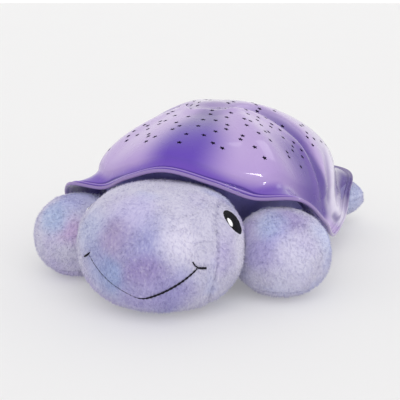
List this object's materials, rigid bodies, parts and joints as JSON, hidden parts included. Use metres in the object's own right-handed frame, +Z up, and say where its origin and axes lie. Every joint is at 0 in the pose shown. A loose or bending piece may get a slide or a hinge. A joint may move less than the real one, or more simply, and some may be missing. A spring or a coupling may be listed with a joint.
{
  "type": "star night light projector",
  "caption": "Stuffed toy turtle night light with a glossy domed shell pierced with small star holes, coloured lamps inside, press buttons at the rear and a battery door underneath.",
  "frame": {"origin": "centre of the bounding box on the table", "axes": "+Z up, -Y the way the turtle looks, +X the turtle's left"},
  "size_m": [0.2506, 0.33, 0.1295],
  "materials": {
    "shell_plastic": "glossy airbrushed lavender and purple",
    "housing_plastic": "satin dark indigo",
    "plush_fabric": "short pile, tie-dyed lavender, pale blue and pink",
    "embroidery_thread": "satin stitch",
    "panel_plastic": "satin",
    "power_cap": "glossy",
    "blue_cap": "glossy",
    "green_cap": "glossy",
    "amber_cap": "glossy",
    "circuit_board": "solder mask",
    "black_plastic": "moulded",
    "white_plastic": "moulded",
    "screw_steel": "zinc plated",
    "contact_steel": "nickel plated",
    "cell_jacket": "printed film, no marks",
    "red_lead": "flexible insulation",
    "grey_cable": "flexible insulation"
  },
  "bodies": {
    "turtle": {"shell": "shell_plastic", "lower_housing": "housing_plastic", "belly_ring": "housing_plastic", "battery_box": "housing_plastic", "plush_body": "plush_fabric", "plush_head": "plush_fabric", "front_left_flipper": "plush_fabric", "front_right_flipper": "plush_fabric", "rear_left_flipper": "plush_fabric", "rear_right_flipper": "plush_fabric", "plush_tail": "plush_fabric", "eye_left": "embroidery_thread", "eye_right": "embroidery_thread", "smile_stitching": "embroidery_thread", "button_panel": "panel_plastic", "led_blue": "blue_cap", "led_green": "green_cap", "led_amber": "amber_cap", "main_board": "circuit_board", "lamp_board": "circuit_board", "button_board": "circuit_board", "control_chip": "black_plastic", "capacitor": "black_plastic", "switch_power": "black_plastic", "switch_blue": "black_plastic", "switch_green": "black_plastic", "switch_amber": "black_plastic", "lead_negative": "black_plastic", "light_tower": "white_plastic", "cable_header": "white_plastic", "ring_screw_1": "screw_steel", "ring_screw_2": "screw_steel", "ring_screw_3": "screw_steel", "ring_screw_4": "screw_steel", "shell_screw_1": "screw_steel", "shell_screw_2": "screw_steel", "shell_screw_3": "screw_steel", "shell_screw_4": "screw_steel", "board_screw_1": "screw_steel", "board_screw_2": "screw_steel", "button_board_screw_left": "screw_steel", "button_board_screw_right": "screw_steel", "battery_spring_1": "contact_steel", "battery_spring_2": "contact_steel", "battery_spring_3": "contact_steel", "contact_plate_front": "contact_steel", "contact_plate_rear": "contact_steel", "battery_cell_1": "cell_jacket", "battery_cell_2": "cell_jacket", "battery_cell_3": "cell_jacket", "lead_positive": "red_lead", "lamp_cable": "grey_cable", "button_ribbon": "grey_cable"},
    "power_button": {"button_power": "power_cap"},
    "blue_button": {"button_blue": "blue_cap"},
    "green_button": {"button_green": "green_cap"},
    "amber_button": {"button_amber": "amber_cap"},
    "door": {"battery_door": "housing_plastic", "door_screw": "screw_steel"}
  },
  "joints": [
    {"name": "power_button_press", "type": "slide", "parent": "turtle", "child": "power_button", "axis": [0, -0.6185, -0.7858], "range_m": [0, 0.001], "stiffness_N_per_m": 350},
    {"name": "blue_button_press", "type": "slide", "parent": "turtle", "child": "blue_button", "axis": [0, -0.6185, -0.7858], "range_m": [0, 0.001], "stiffness_N_per_m": 350},
    {"name": "green_button_press", "type": "slide", "parent": "turtle", "child": "green_button", "axis": [0, -0.6185, -0.7858], "range_m": [0, 0.001], "stiffness_N_per_m": 350},
    {"name": "amber_button_press", "type": "slide", "parent": "turtle", "child": "amber_button", "axis": [0, -0.6185, -0.7858], "range_m": [0, 0.001], "stiffness_N_per_m": 350},
    {"name": "battery_door_lift_off", "type": "slide", "parent": "turtle", "child": "door", "axis": [0, 0, -1], "range_m": [0, 0.015]}
  ]
}
